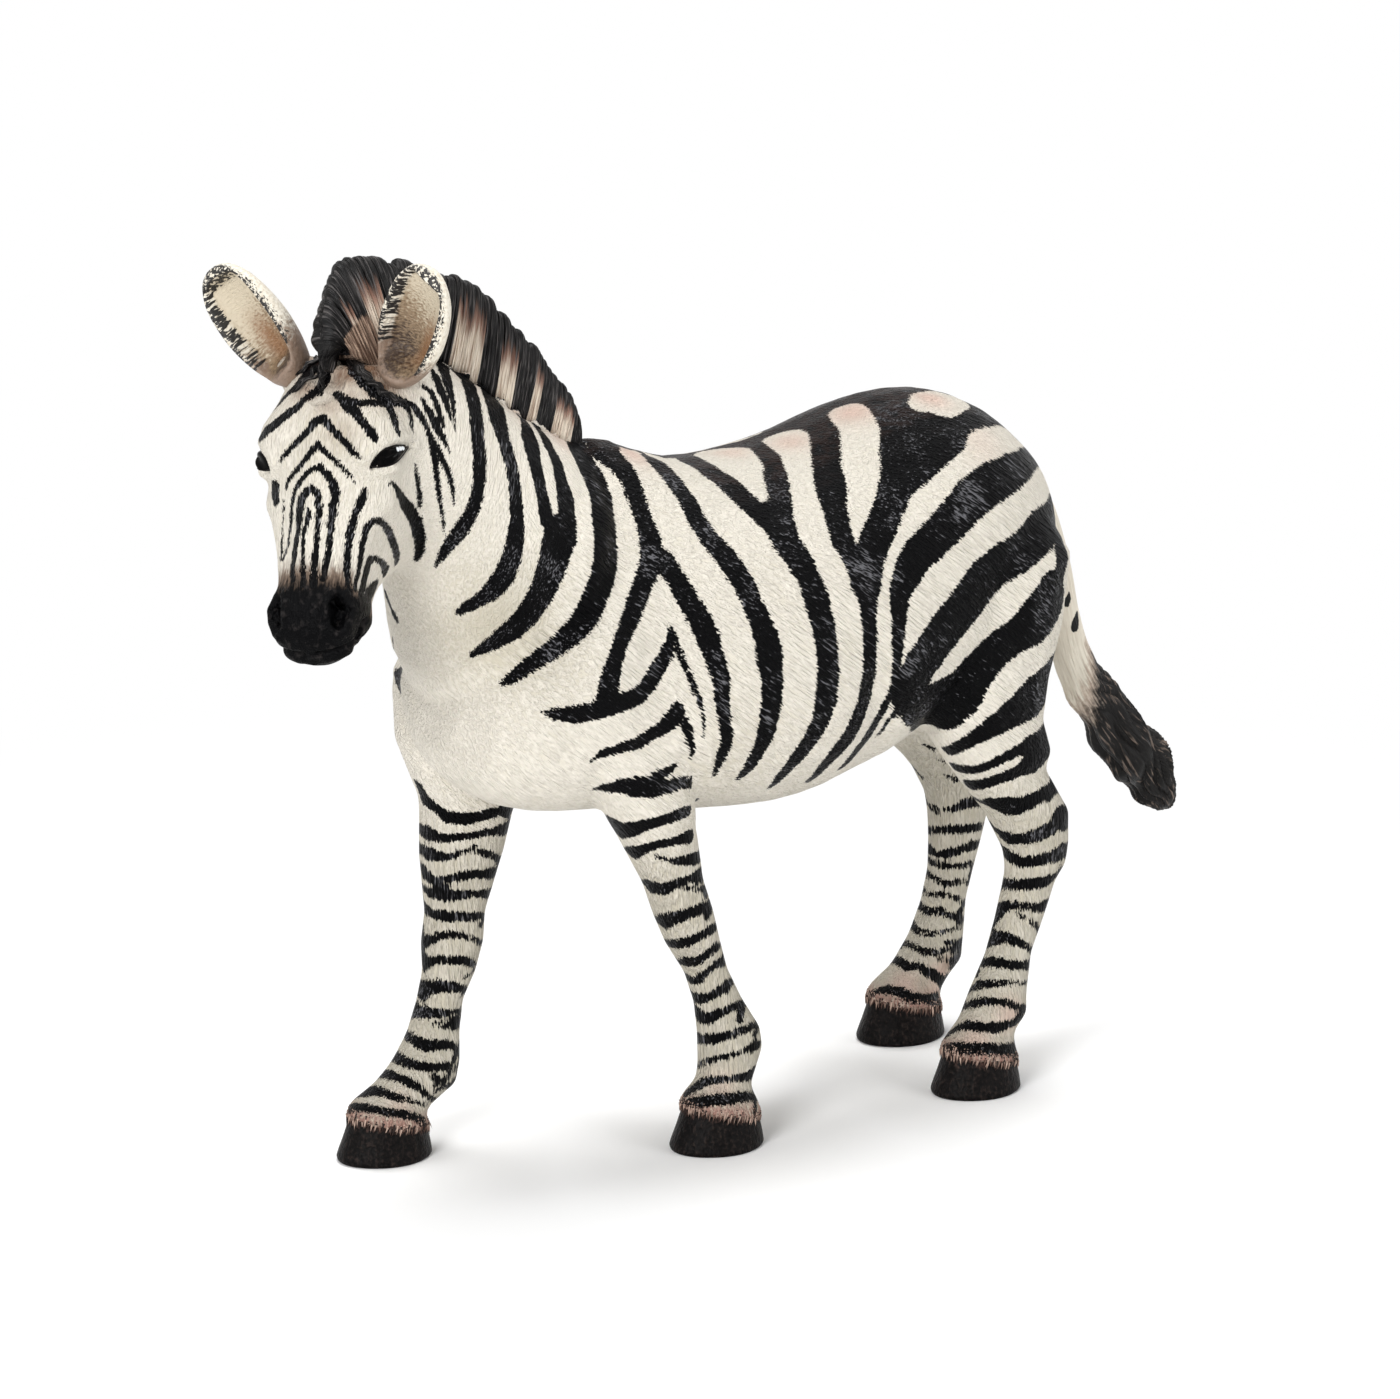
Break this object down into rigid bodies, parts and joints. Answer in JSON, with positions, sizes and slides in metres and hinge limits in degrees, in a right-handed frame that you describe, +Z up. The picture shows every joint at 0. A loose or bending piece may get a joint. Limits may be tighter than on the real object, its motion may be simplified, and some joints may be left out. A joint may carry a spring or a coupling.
{
  "type": "toy zebra figure",
  "caption": "Solid painted zebra figure walking with its head turned to its left, with an upright mane, cupped ears and a hanging tufted tail.",
  "frame": {"origin": "on the standing surface, under the middle of the outline", "axes": "-X the way the zebra walks, -Y towards its left flank, +Z up"},
  "size_m": [0.1142, 0.031, 0.093],
  "materials": {
    "ivory_paint": "matt hand paint over carved hair, warm ivory with black stripes",
    "black_paint": "matt brown-black hand paint over carved strands, with cream bands in the mane"
  },
  "bodies": {
    "root": {"torso": "ivory_paint", "neck": "ivory_paint", "head": "ivory_paint", "mane": "black_paint", "left_ear": "ivory_paint", "right_ear": "ivory_paint", "front_left_leg": "ivory_paint", "front_right_leg": "ivory_paint", "hind_left_leg": "ivory_paint", "hind_right_leg": "ivory_paint", "tail": "black_paint"}
  },
  "joints": []
}
